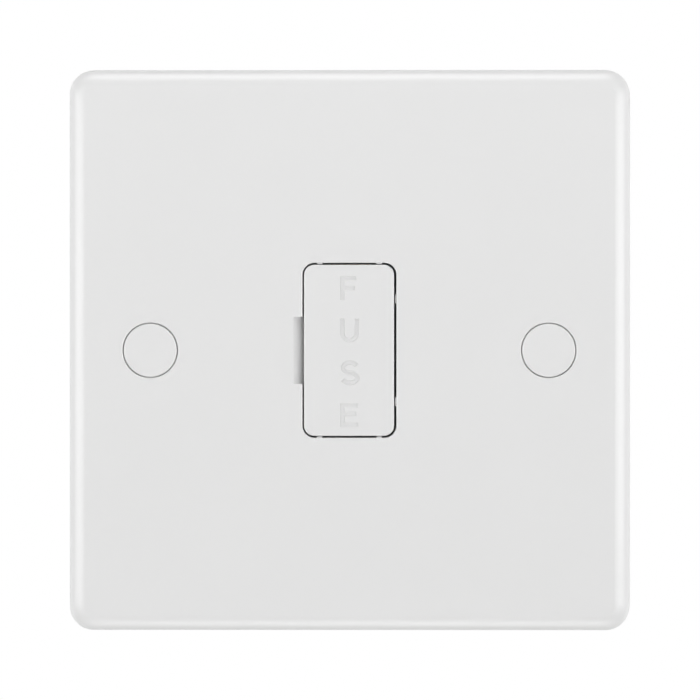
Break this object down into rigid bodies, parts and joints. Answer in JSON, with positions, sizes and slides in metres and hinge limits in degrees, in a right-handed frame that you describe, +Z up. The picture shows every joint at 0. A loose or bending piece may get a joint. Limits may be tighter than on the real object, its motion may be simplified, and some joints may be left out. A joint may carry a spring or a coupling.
{
  "type": "fused connection unit",
  "caption": "Square white wall plate that holds a cartridge fuse in a pull-out drawer between a supply and an outgoing cable, with round caps over its fixing screws.",
  "frame": {"origin": "centre of the plate's back rim, on the wall plane", "axes": "+X to the right seen from the room, +Y into the wall, +Z up"},
  "size_m": [0.086, 0.0289, 0.086],
  "materials": {
    "white_moulding": "glossy white urea moulding",
    "grey_tray": "satin light grey moulding",
    "brass": "machined brass",
    "spring_bronze": "rolled spring bronze",
    "plated_steel": "zinc-plated steel",
    "fuse_ceramic": "plain fired ceramic",
    "nickel_cap": "nickel-plated brass"
  },
  "bodies": {
    "unit": {"faceplate": "white_moulding", "terminal_housing": "grey_tray", "fixing_screws": "plated_steel", "housing_screws": "plated_steel", "feed_fuse_clip": "spring_bronze", "load_fuse_clip": "spring_bronze", "neutral_link": "brass", "earth_link": "brass", "feed_earth_terminal": "brass", "feed_live_terminal": "brass", "feed_neutral_terminal": "brass", "load_earth_terminal": "brass", "load_live_terminal": "brass", "load_neutral_terminal": "brass"},
    "fuse_drawer": {"fuse_carrier": "white_moulding", "fuse_barrel": "fuse_ceramic", "fuse_end_cap_upper": "nickel_cap", "fuse_end_cap_lower": "nickel_cap"},
    "left_cap": {"screw_cap_left": "white_moulding"},
    "right_cap": {"screw_cap_right": "white_moulding"},
    "feed_earth_clamp": {"feed_earth_screw": "plated_steel"},
    "feed_live_clamp": {"feed_live_screw": "plated_steel"},
    "feed_neutral_clamp": {"feed_neutral_screw": "plated_steel"},
    "load_earth_clamp": {"load_earth_screw": "plated_steel"},
    "load_live_clamp": {"load_live_screw": "plated_steel"},
    "load_neutral_clamp": {"load_neutral_screw": "plated_steel"}
  },
  "joints": [
    {"name": "drawer_slide", "type": "slide", "parent": "unit", "child": "fuse_drawer", "axis": [0, -1, 0], "range_m": [0, 0.0137]},
    {"name": "left_cap_pull", "type": "slide", "parent": "unit", "child": "left_cap", "axis": [0, -1, 0], "range_m": [0, 0.008]},
    {"name": "right_cap_pull", "type": "slide", "parent": "unit", "child": "right_cap", "axis": [0, -1, 0], "range_m": [0, 0.008]},
    {"name": "feed_earth_screw_in", "type": "slide", "parent": "unit", "child": "feed_earth_clamp", "axis": [0, -1, 0], "range_m": [0, 0.003]},
    {"name": "feed_live_screw_in", "type": "slide", "parent": "unit", "child": "feed_live_clamp", "axis": [0, -1, 0], "range_m": [0, 0.003]},
    {"name": "feed_neutral_screw_in", "type": "slide", "parent": "unit", "child": "feed_neutral_clamp", "axis": [0, -1, 0], "range_m": [0, 0.003]},
    {"name": "load_earth_screw_in", "type": "slide", "parent": "unit", "child": "load_earth_clamp", "axis": [0, -1, 0], "range_m": [0, 0.003]},
    {"name": "load_live_screw_in", "type": "slide", "parent": "unit", "child": "load_live_clamp", "axis": [0, -1, 0], "range_m": [0, 0.003]},
    {"name": "load_neutral_screw_in", "type": "slide", "parent": "unit", "child": "load_neutral_clamp", "axis": [0, -1, 0], "range_m": [0, 0.003]}
  ]
}
